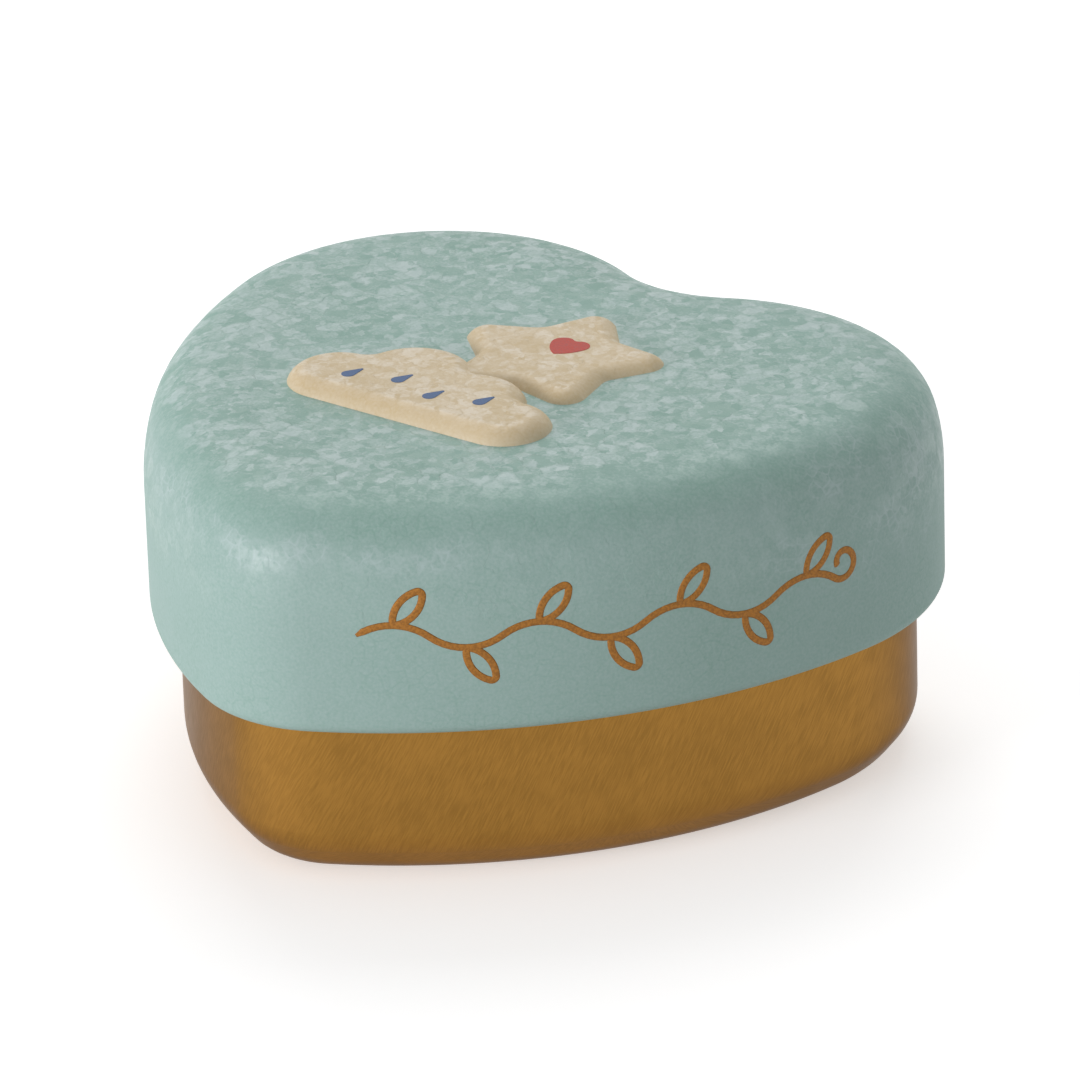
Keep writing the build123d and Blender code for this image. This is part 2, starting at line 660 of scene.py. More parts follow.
@dataclass(frozen=True)
class CrackleLacquer:
    """Lacquer dried into soft flakes, made pale by painted sheen on the top and far shoulder.

    On the walls the flakes are all but gone, as the painted sheen fades there. The bare lacquer
    gets painted shade where it leans up into the shoulder. A band of painted glints with a net of
    crack lines stands out on the walls, near the heart's point and at its right end. Sizes and
    places are in millimetres.
    """

    name: str
    ground: Colour
    flake: Colour
    shade: Colour

    # The pattern: flakes, chips and grain, how soft their edges are and how far they wander
    flake_size: float = 1.6
    chip_size: float = 0.65
    soft_edge: float = 0.15
    grain_size: float = 0.22
    wander_size: float = 0.9
    wander: float = 1.1

    # Painted sheen: the flakes show pale on what faces one side, and looks up
    sheen_side: tuple[float, float, float] = (-0.55, 0.40, 0.733)
    sheen_span: Span = (0.58, 0.73)
    upward_span: Span = (0.0, 0.35)

    # Where the painted glints lie: in patches of a band by the heart's point, and at the right end
    band_height: float = 26.5
    band_reach: float = 2.5
    band_share: float = 0.46
    patch_size: float = 3.0
    patch_span: Span = (0.30, 0.62)
    point_span: Span = (-16.0, -24.0)
    point_shares: Span = (0.25, 1.0)
    end_span: Span = (24.0, 29.5)
    end_rise: Span = (15.0, 25.0)

    # What the painted glints are: hairs in a net and plates, and the faint craze of the same net
    net_size: float = 1.05
    net_wander: float = 0.35
    hair_reach: float = 0.10
    hair_share: float = 0.60
    plate_span: Span = (0.34, 0.48)
    plate_share: float = 0.26
    craze_size: float = 5.0
    craze_span: Span = (0.42, 0.62)
    craze_share: float = 0.18

    # What makes a flake pale, and how pale the bare lacquer and its specks are, with painted shade
    # where it leans up
    flake_weight: float = 0.38
    chip_weight: float = 0.42
    grain_weight: float = 0.56
    pale_span: Span = (0.40, 1.05)
    seam_span: Span = (0.0, 0.16)
    seam_shares: Span = (0.55, 1.0)
    facing_shade_span: Span = (0.3, 0.8)
    facing_shade_shares: Span = (0.47, 0.20)
    speck_shares: Span = (0.95, 0.40)
    cloud_size: float = 9.0

    # Gloss on the upper parts, relief and roughness
    gloss: float = 0.45
    gloss_rise: Span = (19.5, 23.0)
    tilt_rise: float = 0.03
    grain_rise: float = 0.014
    depth: float = 0.001
    roughness: Span = (0.62, 0.42)

    def thickness(self, recipe: Recipe) -> Socket:
        """Share of the flakes' painted sheen, from the way that the surface faces."""
        thick = recipe.spread(recipe.dot(recipe.normal, self.sheen_side), self.sheen_span)
        return recipe.times(thick, recipe.spread(recipe.facing_up, self.upward_span))

    def band(self, recipe: Recipe) -> Socket:
        """Share of the painted glints: in patches round the shoulder's foot, and at the right end.

        Args:
            recipe: the material that asks.

        Returns:
            The socket that tells.
        """
        patches = recipe.noise(self.patch_size, COARSE_DETAIL)["Fac"]
        patches = recipe.spread(patches, self.patch_span)
        off_band = recipe.math("ABSOLUTE", recipe.minus(recipe.height, self.band_height))
        by_point = recipe.spread(recipe.depth, self.point_span, self.point_shares)
        ring = recipe.times(recipe.spread(off_band, (self.band_reach, 0.0)), patches)
        by_end = recipe.spread(recipe.across, self.end_span)
        by_end = recipe.times(by_end, recipe.spread(recipe.height, self.end_rise))
        return recipe.most(recipe.times(ring, by_point), recipe.times(by_end, patches))

    def hairs(self, recipe: Recipe, drift: Socket) -> Socket:
        """One on the net of crack lines, and zero between them.

        Args:
            recipe: the material that asks.
            drift: how far the flakes wander, of which the net has a share.

        Returns:
            The socket that tells.
        """
        strayed = recipe.vector("MULTIPLY", drift, (self.net_wander,) * 3)
        strayed = recipe.vector("ADD", recipe.place, strayed)
        return recipe.spread(recipe.seams(self.net_size, strayed), (self.hair_reach, 0.0))

    def relief(self, recipe: Recipe, place: Socket, flakes: Outputs, grain: Socket) -> Socket:
        """How far the surface rises: each flake tilts its own way, and grain lies on all.

        Args:
            recipe: the material that asks.
            place: the place in the flakes' pattern.
            flakes: what the flakes' cells hand out.
            grain: the fine grain.

        Returns:
            The rise, as a share of the lacquer's depth.
        """
        tilt = recipe.vector("SUBTRACT", flakes["Color"], CENTRE)
        arm = recipe.vector("SUBTRACT", place, flakes["Position"])
        tilted = recipe.times(recipe.dot(arm, tilt), self.tilt_rise)
        return recipe.plus(tilted, recipe.times(grain, self.grain_rise))

    def make(self) -> bpy.types.Material:
        """Build the material.

        Returns:
            The finished material.
        """
        recipe = Recipe(self.name)
        drift = recipe.vector("SUBTRACT", recipe.noise(self.wander_size)["Color"], CENTRE)
        drift = recipe.vector("MULTIPLY", drift, (self.wander,) * 3)
        place = recipe.vector("ADD", recipe.place, drift)
        flakes = recipe.cells(self.flake_size, place, self.soft_edge)
        chips = recipe.cells(self.chip_size, place, self.soft_edge)
        flake_chance = recipe.add("ShaderNodeSeparateColor", {0: flakes["Color"]})
        chip_chance = recipe.add("ShaderNodeSeparateColor", {0: chips["Color"]})
        grain = recipe.noise(self.grain_size)["Fac"]
        # thick: share of the painted sheen that shows the flakes pale
        thick = self.thickness(recipe)
        band = self.band(recipe)

        layers = recipe.times(flake_chance[0], self.flake_weight)
        layers = recipe.plus(layers, recipe.times(chip_chance[1], self.chip_weight))
        strength = recipe.plus(layers, recipe.times(grain, self.grain_weight))
        flaked = recipe.spread(strength, self.pale_span)
        seams = recipe.seams(self.flake_size, place)
        flaked = recipe.times(flaked, recipe.spread(seams, self.seam_span, self.seam_shares))

        hairs = self.hairs(recipe, drift)
        # Painted glints: pale plates and crack lines in the band stand in for highlights
        plates = recipe.times(recipe.spread(layers, self.plate_span), self.plate_share)
        glints = recipe.plus(plates, recipe.times(hairs, self.hair_share))
        craze = recipe.noise(self.craze_size, COARSE_DETAIL)["Fac"]
        crazed = recipe.spread(craze, self.craze_span, (0.0, self.craze_share))
        specks = recipe.spread(thick, WHOLE, self.speck_shares)
        specks = recipe.times(recipe.minus(grain, MIDDLE), specks)
        # Painted shade: the bare lacquer is paler on the walls and darker where it leans up into
        # the shoulder
        plain = recipe.spread(recipe.facing_up, self.facing_shade_span, self.facing_shade_shares)
        # Painted sheen: the pale flakes show as far as thick reaches, the bare lacquer elsewhere
        pale = recipe.mix(thick, plain, flaked)
        pale = recipe.plus(pale, recipe.times(glints, band))
        pale = recipe.minus(pale, recipe.times(hairs, crazed))
        pale = recipe.plus(pale, specks)
        cloudy = recipe.spread(recipe.noise(self.cloud_size, COARSE_DETAIL)["Fac"], SWING)
        ground = recipe.blend(cloudy, self.shade, self.ground)

        dressed = recipe.most(thick, recipe.times(band, self.band_share))
        polished = recipe.spread(recipe.height, self.gloss_rise, (0.0, self.gloss))
        rise = self.relief(recipe, place, flakes, grain)
        bump = recipe.bump(recipe.times(rise, recipe.most(dressed, polished)), self.depth)
        smoothed = recipe.times(chip_chance[2], dressed)
        return recipe.finish(
            {
                "Base Color": recipe.blend(pale, ground, self.flake),
                "Roughness": recipe.spread(smoothed, WHOLE, self.roughness),
                "Specular IOR Level": 0.40,
                "Coat Weight": recipe.times(flaked, polished),
                "Coat Roughness": 0.30,
                "Normal": bump,
                "Coat Normal": bump,
            }
        )


@dataclass(frozen=True)
class BrushedLacquer:
    """Gold lacquer over brushed sheet, whose fine grain climbs slantwise round the wall.

    Sizes are in millimetres. Under the heel, the grain runs straight across the bottom.
    """

    name: str
    ground: Colour
    shade: Colour
    rake: Colour = (0.42, 0.43, 0.47, 1.0)
    mean_radius: float = 25.0
    climb: float = radians(62)
    under_span: Span = (-0.55, -0.75)
    grain_width: float = 0.12
    grain_stretch: float = 13.0
    grain_share: float = 0.72
    mottle_size: float = 3.2
    tone_span: Span = (0.36, 0.64)
    depth: float = 0.000006
    roughness: Span = (0.38, 0.30)

    def make(self) -> bpy.types.Material:
        """Build the material.

        Returns:
            The finished material.
        """
        recipe = Recipe(self.name)
        forwards = recipe.times(recipe.depth, -1.0)
        round_angle = recipe.math("ARCTAN2", recipe.across, forwards)
        around = recipe.times(round_angle, self.mean_radius)
        wall = recipe.add("ShaderNodeCombineXYZ", {0: around, 1: recipe.height})[0]
        under = recipe.spread(recipe.facing_up, self.under_span)
        rolled_out = recipe.mix(under, wall, recipe.place, Mixed.VECTORS)
        slanted = recipe.add(
            "ShaderNodeMapping", {"Vector": rolled_out, "Rotation": (0.0, 0.0, -self.climb)}
        )[0]
        drawn = recipe.vector("MULTIPLY", slanted, (1 / self.grain_stretch, 1.0, 1.0))
        grain = recipe.noise(self.grain_width, place=drawn)["Fac"]
        share = recipe.mix(self.grain_share, recipe.noise(self.mottle_size)["Fac"], grain)
        tone = recipe.spread(share, self.tone_span)
        return recipe.finish(
            {
                "Base Color": recipe.blend(tone, self.shade, self.ground),
                "Metallic": 0.90,
                "Specular Tint": self.rake,
                "Roughness": recipe.spread(share, SWING, self.roughness),
                "Coat Weight": 0.18,
                "Coat Roughness": 0.38,
                "Normal": recipe.bump(grain, self.depth),
            }
        )


@dataclass(frozen=True)
class Tinplate:
    """Bare bright tinplate, with the faint lines that rolling leaves, in millimetres."""

    name: str
    ground: Colour
    shade: Colour
    line_width: float = 0.3
    line_scale: tuple[float, float, float] = (0.05, 1.0, 1.0)
    stain_size: float = 6.0
    depth: float = 0.0000012
    roughness: Span = (0.30, 0.40)

    def make(self) -> bpy.types.Material:
        """Build the material.

        Returns:
            The finished material.
        """
        recipe = Recipe(self.name)
        inputs = {"Vector": recipe.place, "Scale": self.line_scale}
        drawn = recipe.add("ShaderNodeMapping", inputs)[0]
        lines = recipe.noise(self.line_width, place=drawn)["Fac"]
        stain = recipe.spread(recipe.noise(self.stain_size)["Fac"], SWING)
        return recipe.finish(
            {
                "Base Color": recipe.blend(stain, self.shade, self.ground),
                "Metallic": 1.0,
                "Roughness": recipe.spread(lines, SWING, self.roughness),
                "Normal": recipe.bump(lines, self.depth),
            }
        )


@dataclass(frozen=True)
class PrintInk:
    """Opaque printing ink, a little uneven, with its speckles' size in millimetres."""

    name: str
    ground: Colour
    shade: Colour
    metallic: float = 0.0
    speckle_size: float = 0.18
    tone_span: Span = (0.35, 0.65)
    depth: float = 0.00001
    roughness: Span = (0.50, 0.62)

    def make(self) -> bpy.types.Material:
        """Build the material.

        Returns:
            The finished material.
        """
        recipe = Recipe(self.name)
        speckle = recipe.noise(self.speckle_size)["Fac"]
        tone = recipe.spread(speckle, self.tone_span)
        return recipe.finish(
            {
                "Base Color": recipe.blend(tone, self.shade, self.ground),
                "Metallic": self.metallic,
                "Roughness": recipe.spread(speckle, SWING, self.roughness),
                "Specular IOR Level": 0.35,
                "Normal": recipe.bump(speckle, self.depth),
            }
        )


@dataclass(frozen=True)
class Star:
    """Outline of a plump star with rounded points and valleys."""

    place: Vector = field(default_factory=lambda: Vector((0.0025, 0.0054)))
    radius: float = 0.0096
    valley_share: float = 0.58
    points: int = 5
    lean: float = radians(9)
    tip_round: float = 0.0016
    valley_round: float = 0.0013

    def outline(self) -> Track:
        """Line round the star.

        Returns:
            The closed outline, run through anticlockwise.
        """
        sector = 2 * pi / self.points
        tip = ahead(pi / 2 + self.lean) * self.radius
        valley = ahead(pi / 2 + self.lean - sector / 2) * self.radius * self.valley_share
        side = tip - valley
        heading = atan2(side.y, side.x)
        tip_turn = 2 * (pi / 2 + self.lean + pi / 2 - heading)
        valley_turn = sector - tip_turn
        tip_cut = self.tip_round * tan(tip_turn / 2)
        valley_cut = self.valley_round * tan(-valley_turn / 2)
        edge = Run(side.length - tip_cut - valley_cut)
        corner = (Bend(self.tip_round, tip_turn), edge, Bend(self.valley_round, valley_turn), edge)
        start = self.place + tip - side.normalized() * tip_cut
        return Track(start, heading, corner * self.points)


@dataclass(frozen=True)
class Puff:
    """One round of a cloud: its centre across and up from the cloud's foot, and its radius."""

    across: float
    up: float
    radius: float


@dataclass(frozen=True)
class Cloud:
    """Outline of a small cloud: a flat foot and a row of puffs with rounded cusps between."""

    place: Vector = field(default_factory=lambda: Vector((-0.0008, -0.0096)))
    width: float = 0.0226
    cusp_round: float = 0.00075
    puff_shares: tuple[Puff, ...] = (
        Puff(0.350, 0.150, 0.150),
        Puff(0.140, 0.235, 0.185),
        Puff(-0.135, 0.300, 0.200),
        Puff(-0.335, 0.165, 0.165),
    )

    def outline(self) -> Track:
        """Line round the cloud, from the foot of its rightmost puff.

        Returns:
            The closed outline, run through anticlockwise.
        """
        rounds = [
            (Vector((puff.across, puff.up)) * self.width, puff.radius * self.width)
            for puff in self.puff_shares
        ]
        stretches: list[Bend | Run] = []
        facing = -pi / 2
        for (centre, radius), (following, following_radius) in zip(rounds, rounds[1:]):
            gap = following - centre
            reach, far_reach = radius + self.cusp_round, following_radius + self.cusp_round
            along = (reach**2 - far_reach**2 + gap.length_squared) / (2 * gap.length)
            way = gap.normalized()
            cusp = centre + way * along + Vector((way.y, -way.x)) * sqrt(reach**2 - along**2)
            leaves = atan2(cusp.y - centre.y, cusp.x - centre.x)
            lands = atan2(cusp.y - following.y, cusp.x - following.x)
            stretches += [Bend(radius, leaves - facing), Bend(self.cusp_round, lands - leaves)]
            facing = lands
        centre, radius = rounds[-1]
        stretches += [Bend(radius, 3 * pi / 2 - facing), Run(rounds[0][0].x - centre.x)]
        first, first_radius = rounds[0]
        return Track(self.place + first - Vector((0, first_radius)), 0.0, tuple(stretches))


@dataclass(frozen=True)
class Relief:
    """How the sheet of the lid's top is raised into a picture."""

    outline: Track
    height: float
    brow_radius: float = 0.0016

    def block(self, top: float, sheet: float, inset: float) -> bpy.types.Object:
        """Make the closed block that the sheet is raised by, or the hollow under it.

        Args:
            top: height of the lid's flat top.
            sheet: thickness of the sheet.
            inset: how far the block lies inside the raised sheet's outer face.

        Returns:
            The block.
        """
        slope = acos(1 - self.height / self.brow_radius)
        foot = top - sheet / 2 - inset
        rise = top - inset * cos(slope) - foot
        start = Vector((inset * sin(slope) - rise / tan(slope), foot))
        brow = Bend(self.brow_radius - inset, -slope)
        section = Track(start, slope, (Run(rise / sin(slope)), brow))
        bench = sweep("relief", section, self.outline)
        weld()
        bench.close(foot)
        bench.close(section.walk()[0].y)
        weld()
        return bench.leave()


@dataclass(frozen=True)
class Drop:
    """Outline of a small drop that hangs from its point."""

    place: Vector
    round_radius: float = 0.00052
    point_radius: float = 0.00010
    length: float = 0.00125
    lean: float = radians(-14)

    def outline(self) -> Track:
        """Line round the drop.

        Returns:
            The closed outline, run through anticlockwise.
        """
        taper = asin((self.round_radius - self.point_radius) / self.length)
        side = Run(self.length * cos(taper))
        facing = pi - taper + self.lean
        return Track(
            self.place + ahead(facing) * self.round_radius,
            facing + pi / 2,
            (
                Bend(self.round_radius, pi + 2 * taper),
                side,
                Bend(self.point_radius, pi - 2 * taper),
                side,
            ),
        )


@dataclass
class Prints:
    """The small printed pieces on the raised pictures, sunk into them by half."""

    thickness: float
    blue: bpy.types.Material
    red: bpy.types.Material
    drop_count: int = 4
    first_drop: tuple[float, float] = (-0.0068, -0.0066)
    drop_step: float = 0.0037
    drop_rise: float = 0.0011
    heart: Heart = Heart(
        width=0.0031,
        depth=0.0029,
        lobe_radius=0.00086,
        tip_radius=0.00022,
        flank_radius=0.0032,
        notch_radius=0.00035,
    )
    heart_place: Vector = field(default_factory=lambda: Vector((0.0029, 0.0066)))
    heart_seam: float = SPECK / 10

    def print_drops(self, height: float) -> bpy.types.Object:
        """Print the row of drops, every second one a little higher.

        Args:
            height: height of the face that carries them.

        Returns:
            The drops, as one piece.
        """
        left, foot = self.first_drop
        plates = []
        for number in range(self.drop_count):
            rise = self.drop_rise * (number % 2)
            drop = Drop(Vector((left + self.drop_step * number, foot + rise)))
            bench = fill("drop", drop.outline(), height - self.thickness, 2 * self.thickness)
            plates.append(bench.leave())
        piece = unite(plates)
        piece.name = "printed_drops"
        piece.data.materials.append(self.blue)
        return piece

    def print_heart(self, height: float) -> bpy.types.Object:
        """Print the little heart.

        Args:
            height: height of the face that carries it.

        Returns:
            The heart.
        """
        half = self.heart.right_half()
        bench = Bench("printed_heart", GROUND.point(half.start))
        bench.draw(half, GROUND)
        apply(bench.leave(), "MIRROR", merge_threshold=self.heart_seam)
        bpy.ops.object.mode_set(mode="EDIT")
        bpy.ops.mesh.select_all(action="SELECT")
        bpy.ops.mesh.edge_face_add()
        bench.lift(2 * self.thickness)
        weld()
        place = (self.heart_place.x, self.heart_place.y, height - self.thickness)
        bpy.ops.transform.translate(value=place)
        piece = bench.leave()
        piece.data.materials.append(self.red)
        return piece


@dataclass(frozen=True)
class Wall:
    """The lid's outer wall as a face to print on, rolled out flat from the heart's point."""

    outline: Track
    bow_foot: float
    bow_radius: float

    def point(self, along: float, height: float, proud: float) -> Vector:
        """Place on the wall, or just proud of it.

        Args:
            along: how far round the right half of the heart, from its point.
            height: height above the ground.
            proud: how far out of the wall.

        Returns:
            The place in space.
        """
        place, heading = self.outline.walk(along)
        lean = asin(max(0.0, height - self.bow_foot) / self.bow_radius)
        inset = self.bow_radius * (1 - cos(lean)) - cos(lean) * proud
        flat = place + to_left(heading) * inset
        return Vector((flat.x, flat.y, height + sin(lean) * proud))


@dataclass(frozen=True)
class Vine:
    """A wavy stem with a leaf on each wave, drawn in thin strokes on a wall."""

    ink: bpy.types.Material
    stroke: float = 0.00055
    thickness: float = 0.00008
    start: Vector = field(default_factory=lambda: Vector((0.0086, 0.0206)))
    fall: float = radians(-1.6)
    waves: int = 7
    wave_radius: float = 0.0043
    wave_turn: float = radians(74)
    curls: tuple[Bend, ...] = (Bend(0.0011, radians(190)), Bend(0.0007, radians(150)))
    leaf_radius: float = 0.0024
    leaf_tip: float = 0.00032
    leaf_taper: float = radians(35)
    leaf_angle: float = radians(52)
    end_width: float = 0.45
    round_steps: int = 2
    weld_reach: float = SPECK / 2

    def strokes(self) -> list[Track]:
        """Lines of the stem and its leaves.

        Returns:
            The tracks, with x along the wall and y upwards.
        """
        signs = [-1 if wave % 2 == 0 else 1 for wave in range(self.waves)]
        bends = [Bend(self.wave_radius, sign * self.wave_turn) for sign in signs]
        heading = self.fall + self.wave_turn / 2
        curl = [Bend(bend.radius, -signs[-1] * bend.turn) for bend in self.curls]
        stem = Track(self.start, heading, (*bends, *curl))
        tracks = [stem]
        opening = acos((1 - self.leaf_tip / self.leaf_radius) * cos(self.leaf_taper))
        side = Bend(self.leaf_radius, -opening - self.leaf_taper)
        leaf = (side, Bend(self.leaf_tip, 2 * self.leaf_taper - pi), side)
        for wave, sign in enumerate(signs):
            base, along = stem.walk(bends[0].length * (wave + MIDDLE))
            way = along - sign * self.leaf_angle
            tracks.append(Track(base, way + opening, leaf))
        return tracks

    def build(self, wall: Wall) -> bpy.types.Object:
        """Draw the strokes flat, thicken them and lay them on the wall.

        Args:
            wall: the wall to print on.

        Returns:
            The printed vine.
        """
        lines = []
        for track in self.strokes():
            bench = Bench("printed_vine", GROUND.point(track.start))
            bench.draw(track, GROUND)
            lines.append(bench.leave())
        unite(lines)
        bpy.ops.object.convert(target="CURVE")
        piece = bpy.context.object
        piece.data.dimensions = "3D"
        piece.data.bevel_depth = self.stroke / 2
        piece.data.bevel_resolution = self.round_steps
        piece.data.use_fill_caps = True
        for line in piece.data.splines:
            for end in (line.points[0], line.points[-1]):
                end.radius = self.end_width
        bpy.ops.object.convert(target="MESH")
        bpy.ops.object.mode_set(mode="EDIT")
        weld(self.weld_reach)
        bpy.ops.object.mode_set(mode="OBJECT")
        piece = bpy.context.object
        for corner in piece.data.vertices:
            proud = corner.co.z * self.thickness / self.stroke
            corner.co = wall.point(corner.co.x, corner.co.y, proud)
        bpy.ops.object.shade_smooth()
        piece.data.materials.append(self.ink)
        return piece


@dataclass
class Shell:
    """A drawn sheet-metal shell: its outline, its two finishes and how thick its sheet is."""

    outline: Heart
    outside: bpy.types.Material
    inside: bpy.types.Material
    sheet: float = 0.00028

    def press(self, name: str, section: Track, flat: float) -> bpy.types.Object:
        """Sweep the section round the heart, close its flat and give the sheet its thickness.

        Args:
            name: name of the shell's object.
            section: outer face of the sheet, from the flat outwards.
            flat: height of the flat that the section starts at.

        Returns:
            The shell, with its second material slot on its inner face.
        """
        bench = sweep(name, section, self.outline.right_half())
        piece = bench.leave()
        apply(piece, "MIRROR", merge_threshold=SPECK)
        bpy.ops.object.mode_set(mode="EDIT")
        bench.close(flat)
        weld()
        bench.leave()
        for material in (self.outside, self.inside):
            piece.data.materials.append(material)
        apply(
            piece,
            "SOLIDIFY",
            thickness=self.sheet,
            offset=-1.0,
            use_even_offset=True,
            use_quality_normals=True,
            material_offset=1,
            material_offset_rim=1,
        )
        return piece


@dataclass
class Cup(Shell):
    """The base: a cup with a standing ring, a heel of two bends and a slope, and a rolled lip."""

    inset: float = 0.0021
    panel_lift: float = 0.0005
    step_radius: float = 0.00045
    step_turn: float = radians(45)
    ring_width: float = 0.0013
    heel_radius: float = 0.0034
    heel_slope: float = 0.0011
    bow_radius: float = 0.0030
    bow_turn: float = radians(38)
    lip_radius: float = 0.00075

    def section(self, lip_top: float) -> Track:
        """Outer face of the cup's sheet, from its bottom panel to its rolled lip.

        Args:
            lip_top: height of the lip's top.

        Returns:
            The section, with x inwards from the lid's wall.
        """
        fall = self.panel_lift - 2 * self.step_radius * (1 - cos(self.step_turn))
        bends = (
            Bend(self.step_radius, self.step_turn),
            Run(fall / sin(self.step_turn)),
            Bend(self.step_radius, -self.step_turn),
            Run(self.ring_width),
            Bend(self.heel_radius, self.bow_turn - pi / 2),
            Run(self.heel_slope),
            Bend(self.bow_radius, -self.bow_turn),
        )
        reached, _ = Track(Vector((0, self.panel_lift)), pi, bends).walk()
        wall = Run(lip_top - self.lip_radius - reached.y)
        lip = Bend(self.lip_radius, -3 * pi / 2)
        return Track(Vector((self.inset - reached.x, self.panel_lift)), pi, (*bends, wall, lip))

    def build(self, lip_top: float) -> bpy.types.Object:
        """Make and dress the cup.

        Args:
            lip_top: height of the lip's top.

        Returns:
            The finished cup.
        """
        piece = self.press("cup", self.section(lip_top), self.panel_lift)
        smooth(piece)
        return piece


@dataclass
class Lid(Shell):
    """The cap: a shell with a soft shoulder, a rolled rim and pictures raised in its top."""

    picture_print: bpy.types.Material | None = None
    pictures: tuple[Relief, ...] = ()
    top: float = 0.0295
    crown_radius: float = 0.0200
    crown_turn: float = radians(10)
    shoulder_radius: float = 0.0046
    bow_radius: float = 0.0135
    bow_turn: float = radians(16)
    curl_radius: float = 0.0009

    def bends(self) -> Track:
        """Section from the edge of the flat top, where x is zero, down to the straight wall.

        Returns:
            The bends alone.
        """
        return Track(
            Vector((0, self.top)),
            pi,
            (
                Bend(self.crown_radius, self.crown_turn),
                Bend(self.shoulder_radius, pi / 2 - self.crown_turn - self.bow_turn),
                Bend(self.bow_radius, self.bow_turn),
            ),
        )

    def wall(self) -> Wall:
        """The right half of the lid's wall, as a face to print on."""
        return Wall(self.outline.right_half(), self.bends().walk()[0].y, self.bow_radius)

    def section(self, rim: float) -> Track:
        """Outer face of the lid's sheet, from its flat top to its rolled rim.

        Args:
            rim: height of the rim's underside.

        Returns:
            The section, with x inwards from the wall.
        """
        bends = self.bends()
        reached, _ = bends.walk()
        wall = Run(reached.y - rim - self.curl_radius)
        curl = Bend(self.curl_radius, 3 * pi / 2)
        return Track(Vector((-reached.x, self.top)), pi, (*bends.stretches, wall, curl))

    def build(self, rim: float) -> bpy.types.Object:
        """Make and dress the lid.

        Args:
            rim: height of the rim's underside.

        Returns:
            The finished lid.
        """
        piece = self.press("lid", self.section(rim), self.top)
        for picture in self.pictures:
            block = picture.block(self.top, self.sheet, 0.0)
            block.data.materials.append(self.picture_print)
            set_in(piece, block, Join.ADD)
        for picture in self.pictures:
            hollow = picture.block(self.top, self.sheet, self.sheet)
            hollow.data.materials.append(self.inside)
            set_in(piece, hollow, Join.CUT)
        smooth(piece)
        return piece


@dataclass(frozen=True)
class Softbox:
    """A flat studio lamp: its place, width and height, its power in watts and its colour."""

    name: str
    place: Vector
    width: float
    height: float
    power: float
    colour: Colour = (1.0, 1.0, 1.0)

    def hang(self, aim: Vector) -> None:
        """Put up the lamp.

        Args:
            aim: the point that the lamp faces.
        """
        bpy.ops.object.light_add(type="AREA", location=self.place)
        lamp = bpy.context.object
        lamp.name = self.name
        lamp.data.shape = "RECTANGLE"
        lamp.data.size = self.width
        lamp.data.size_y = self.height
        lamp.data.energy = self.power
        lamp.data.color = self.colour
        lamp.rotation_euler = (aim - self.place).to_track_quat("-Z", "Y").to_euler()


@dataclass(frozen=True)
class PhotoView:
    """The camera's place and lens, as fitted to the photograph's outline of the tin."""

    place: Vector = field(default_factory=lambda: Vector((0.35478, -0.44967, 0.27274)))
    azimuth: float = radians(37.869)
    elevation: float = radians(24.103)
    roll: float = radians(-1.77)
    focal_pixels: float = 8598.5
    frame_pixels: int = 1080
    sensor: float = 36.0
    clip_start: float = 0.01

    def set_up(self) -> None:
        """Make the camera and give it to the scene."""
        level, rise = cos(self.elevation), sin(self.elevation)
        back = Vector((sin(self.azimuth) * level, -cos(self.azimuth) * level, rise))
        right = Vector((cos(self.azimuth), sin(self.azimuth), 0))
        up = back.cross(right)
        rolled_right = right * cos(self.roll) + up * sin(self.roll)
        rolled_up = up * cos(self.roll) - right * sin(self.roll)
        bpy.ops.object.camera_add(location=self.place)
        camera = bpy.context.object
        camera.rotation_euler = Matrix((rolled_right, rolled_up, back)).transposed().to_euler()
        camera.data.sensor_width = self.sensor
        camera.data.lens = self.focal_pixels * self.sensor / self.frame_pixels
        camera.data.clip_start = self.clip_start
        bpy.context.scene.camera = camera


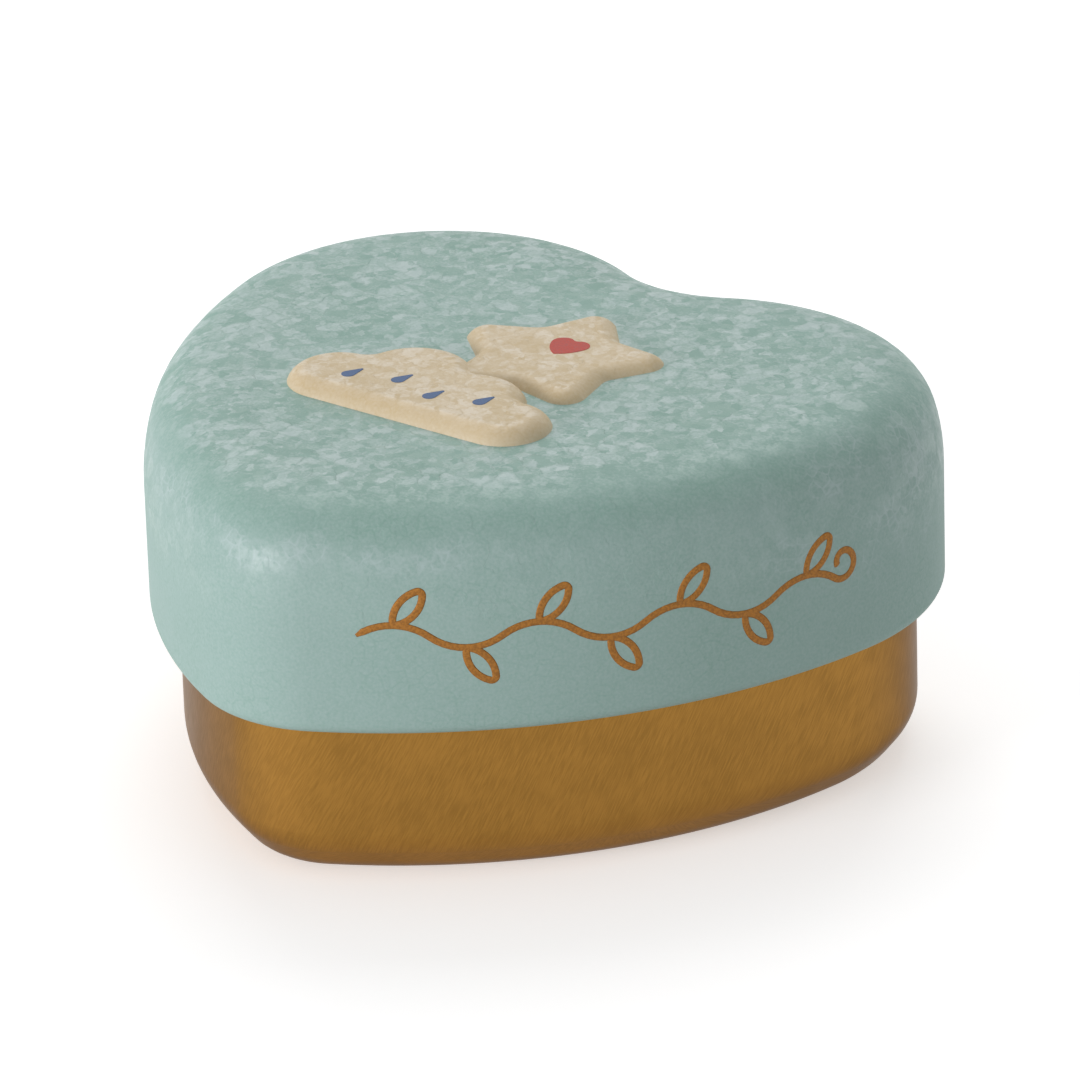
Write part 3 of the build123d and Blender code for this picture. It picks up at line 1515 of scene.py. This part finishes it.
@dataclass(frozen=True)
class Studio:
    """A pale floor under a white sky, with soft lamps round the tin."""

    floor_size: float = 4.0
    floor_colour: Colour = (0.80, 0.80, 0.80, 1.0)
    floor_glow: float = 0.50
    sky_colour: Colour = (1.0, 1.0, 1.0, 1.0)
    sky: float = 0.45
    aim: Vector = field(default_factory=lambda: Vector((0, 0, 0.015)))
    lamps: tuple[Softbox, ...] = (
        Softbox(
            "key",
            Vector((-0.33, -0.94, 0.16)),
            width=0.45,
            height=0.30,
            power=6.2,
            colour=(1.0, 0.96, 0.985),
        ),
        Softbox("top", Vector((-0.38, 0.50, 0.80)), width=0.70, height=0.70, power=3.6),
    )

    def set_up(self) -> None:
        """Build the floor, the sky and the lamps."""
        self.lay_floor()
        self.light_sky()
        for lamp in self.lamps:
            lamp.hang(self.aim)
        bpy.context.scene.view_settings.view_transform = "Standard"

    def lay_floor(self) -> None:
        """Lay the pale floor a hair below the ring that the tin stands on."""
        bpy.ops.mesh.primitive_plane_add(size=self.floor_size, location=(0, 0, -SPECK))
        floor = bpy.context.object
        floor.name = "floor"
        material = bpy.data.materials.new("pale floor")
        material.use_nodes = True
        nodes, links = material.node_tree.nodes, material.node_tree.links
        nodes.clear()
        paper = nodes.new("ShaderNodeBsdfDiffuse")
        paper.inputs["Color"].default_value = self.floor_colour
        glow = nodes.new("ShaderNodeEmission")
        glow.inputs["Strength"].default_value = self.floor_glow
        both = nodes.new("ShaderNodeAddShader")
        links.new(paper.outputs[0], both.inputs[0])
        links.new(glow.outputs[0], both.inputs[1])
        mix = nodes.new("ShaderNodeMixShader")
        links.new(self.seen_share(material.node_tree), mix.inputs[0])
        links.new(paper.outputs[0], mix.inputs[1])
        links.new(both.outputs[0], mix.inputs[2])
        output = nodes.new("ShaderNodeOutputMaterial")
        links.new(mix.outputs[0], output.inputs["Surface"])
        floor.data.materials.append(material)

    def light_sky(self) -> None:
        """Light the tin with an even sky that is plain white where it is seen."""
        world = bpy.data.worlds.new("white sky")
        bpy.context.scene.world = world
        world.use_nodes = True
        nodes, links = world.node_tree.nodes, world.node_tree.links
        sky = nodes["Background"]
        sky.inputs["Color"].default_value = self.sky_colour
        strength = nodes.new("ShaderNodeMapRange")
        strength.inputs["To Min"].default_value = self.sky
        links.new(self.seen_share(world.node_tree), strength.inputs["Value"])
        links.new(strength.outputs[0], sky.inputs["Strength"])

    @staticmethod
    def seen_share(tree: bpy.types.NodeTree) -> Socket:
        """One where a surface is seen, directly, mirrored or through glass, and zero elsewhere.

        Args:
            tree: the node tree that asks.

        Returns:
            The socket that tells.
        """
        path = tree.nodes.new("ShaderNodeLightPath")
        share = path.outputs["Is Camera Ray"]
        for other in ("Is Glossy Ray", "Is Transmission Ray"):
            either = tree.nodes.new("ShaderNodeMath")
            either.operation = "MAXIMUM"
            tree.links.new(share, either.inputs[0])
            tree.links.new(path.outputs[other], either.inputs[1])
            share = either.outputs[0]
        return share


def main() -> None:
    """Build the tin's pieces and the studio."""
    logging.basicConfig(level=logging.INFO, format="%(name)s: %(message)s")
    lid_low, lid_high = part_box("lid_shell")
    _, cup_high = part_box("base_shell")
    heart = Heart(
        width=lid_high.x - lid_low.x,
        depth=lid_high.y - lid_low.y,
        lobe_radius=0.0180,
        tip_radius=0.0106,
        flank_radius=0.0473,
        notch_radius=0.0087,
    )
    teal = CrackleLacquer(
        "teal crackle",
        ground=srgb(138, 171, 161),
        flake=srgb(167, 189, 186),
        shade=srgb(133, 167, 156),
    ).make()
    cream = CrackleLacquer(
        "cream crackle",
        ground=srgb(207, 187, 150),
        flake=srgb(218, 204, 179),
        shade=srgb(202, 181, 142),
        flake_size=1.3,
        chip_size=0.5,
    ).make()
    gold = BrushedLacquer("gold lacquer", srgb(158, 114, 47), srgb(141, 101, 39)).make()
    tin = Tinplate("bright tinplate", srgb(222, 219, 212), srgb(210, 206, 196)).make()
    blue = PrintInk("blue ink", srgb(70, 100, 142), srgb(60, 88, 130)).make()
    bronze = PrintInk("bronze ink", srgb(172, 116, 48), srgb(142, 94, 38), metallic=0.35).make()
    red = PrintInk("red ink", srgb(188, 66, 52), srgb(172, 58, 46)).make()

    prints = Prints(thickness=0.00003, blue=blue, red=red)
    star_height = 0.00075
    cloud_height = lid_high.z - Lid.top - prints.thickness
    pictures = (
        Relief(Star().outline(), star_height),
        Relief(Cloud().outline(), cloud_height),
    )
    cap = Lid(heart, teal, tin, picture_print=cream, pictures=pictures)
    lid = cap.build(rim=lid_low.z)
    vine = Vine(bronze).build(cap.wall())
    cup = Cup(heart, gold, tin).build(lip_top=cup_high.z)
    drops = prints.print_drops(Lid.top + cloud_height)
    small_heart = prints.print_heart(Lid.top + star_height)
    for piece in (lid, drops, small_heart, vine):
        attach(piece, Body.LID.value)
    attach(cup, Body.BASE.value)
    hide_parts("lid_shell")
    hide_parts("base_shell")
    for piece in (lid, cup, drops, small_heart, vine):
        log.info("%s has %d faces", piece.name, len(piece.data.polygons))
    Studio().set_up()
    PhotoView().set_up()


if __name__ == "__main__":
    main()
